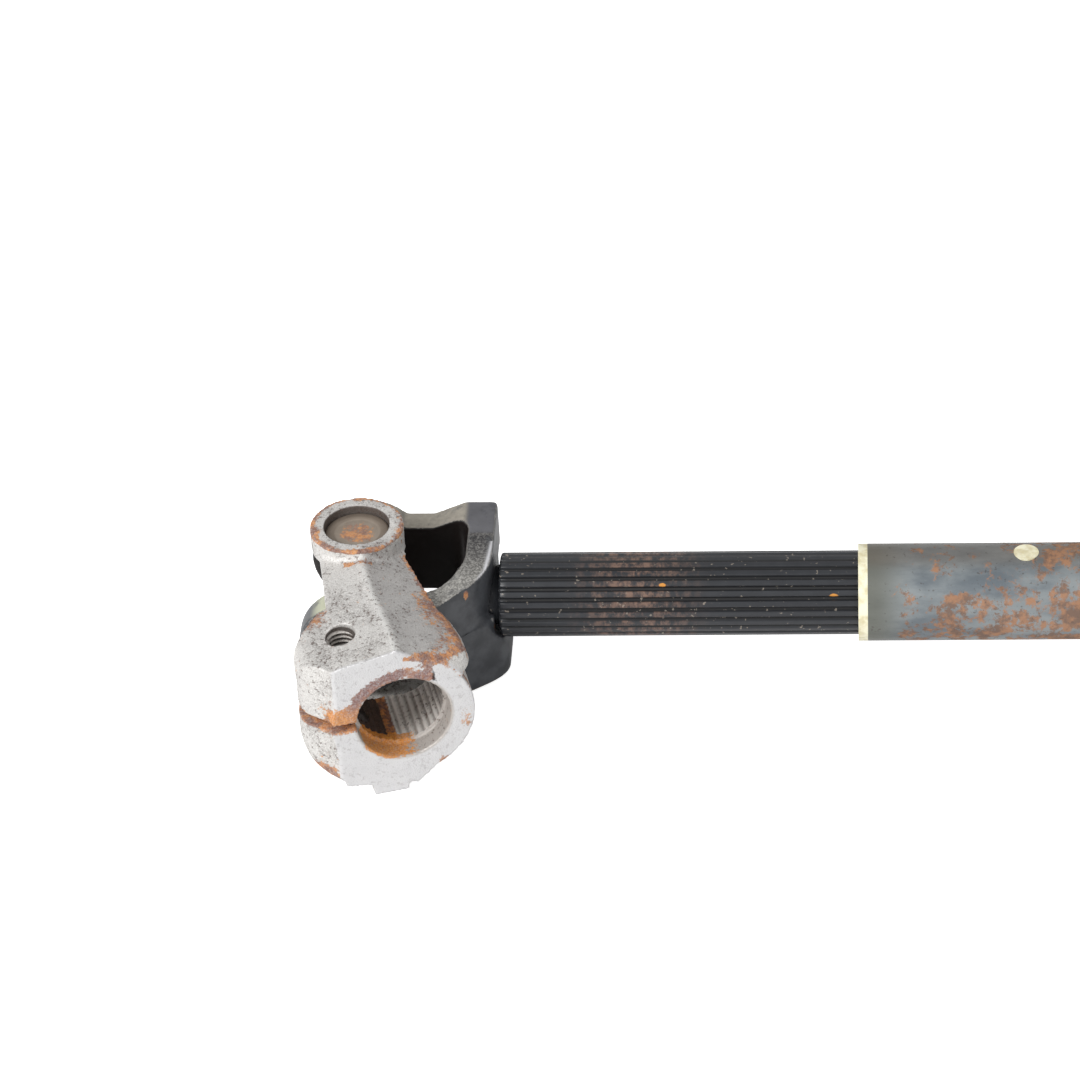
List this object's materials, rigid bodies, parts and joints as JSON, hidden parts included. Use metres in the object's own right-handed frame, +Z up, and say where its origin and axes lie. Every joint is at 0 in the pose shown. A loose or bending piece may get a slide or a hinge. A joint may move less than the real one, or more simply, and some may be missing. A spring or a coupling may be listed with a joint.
{
  "type": "intermediate steering shaft",
  "caption": "Telescoping steering shaft: ribbed inner bar in a lined tube, with a universal joint and a split clamp yoke at each end, the lower one folded aside.",
  "frame": {"origin": "on the upper clamp's bore axis where its serrations start, behind the wider mouth", "axes": "+X along the shaft and out of the upper clamp, +Z up, so the lower clamp folds towards -Y"},
  "size_m": [0.3944, 0.0752, 0.0436],
  "materials": {
    "forged_steel": "bare forged steel with pits and orange rust",
    "black_paint": "satin black paint over stamped steel",
    "black_coat": "satin black coating on rolled ribs",
    "tube_steel": "bare drawn tube with brown rust patches",
    "cream_plastic": "aged cream moulded plastic",
    "seal_rubber": "black rubber",
    "bearing_steel": "hardened bearing steel"
  },
  "bodies": {
    "tube": {"outer_tube": "tube_steel", "slide_lining": "cream_plastic", "upper_shaft_yoke": "black_paint", "upper_cup_front": "bearing_steel", "upper_cup_back": "bearing_steel", "upper_seal_front": "seal_rubber", "upper_seal_back": "seal_rubber"},
    "inner_shaft": {"ribbed_shaft": "black_coat", "lower_shaft_yoke": "black_paint", "lower_cup_front": "bearing_steel", "lower_cup_back": "bearing_steel", "lower_seal_front": "seal_rubber", "lower_seal_back": "seal_rubber"},
    "lower_spider": {"lower_cross": "bearing_steel", "lower_needles_top": "bearing_steel", "lower_needles_bottom": "bearing_steel", "lower_needles_front": "bearing_steel", "lower_needles_back": "bearing_steel"},
    "lower_clamp": {"lower_clamp_yoke": "forged_steel", "lower_cup_top": "bearing_steel", "lower_cup_bottom": "bearing_steel", "lower_seal_top": "seal_rubber", "lower_seal_bottom": "seal_rubber"},
    "upper_spider": {"upper_cross": "bearing_steel", "upper_needles_top": "bearing_steel", "upper_needles_bottom": "bearing_steel", "upper_needles_front": "bearing_steel", "upper_needles_back": "bearing_steel"},
    "upper_clamp": {"upper_clamp_yoke": "forged_steel", "upper_cup_top": "bearing_steel", "upper_cup_bottom": "bearing_steel", "upper_seal_top": "seal_rubber", "upper_seal_bottom": "seal_rubber"}
  },
  "joints": [
    {"name": "telescope", "type": "slide", "parent": "tube", "child": "inner_shaft", "axis": [1, 0, 0], "range_m": [-0.03, 0.07]},
    {"name": "lower_level_hinge", "type": "hinge", "parent": "inner_shaft", "child": "lower_spider", "pos_m": [-0.3752, 0, 0], "axis": [0, 1, 0], "range_deg": [-10, 10]},
    {"name": "lower_upright_hinge", "type": "hinge", "parent": "lower_spider", "child": "lower_clamp", "pos_m": [-0.3752, 0, 0], "axis": [0, 0, 1], "range_deg": [-200, 0]},
    {"name": "upper_level_hinge", "type": "hinge", "parent": "tube", "child": "upper_spider", "pos_m": [-0.0452, 0, 0], "axis": [0, 1, 0], "range_deg": [-35, 35]},
    {"name": "upper_upright_hinge", "type": "hinge", "parent": "upper_spider", "child": "upper_clamp", "pos_m": [-0.0452, 0, 0], "axis": [0, 0, 1], "range_deg": [-40, 40]}
  ]
}
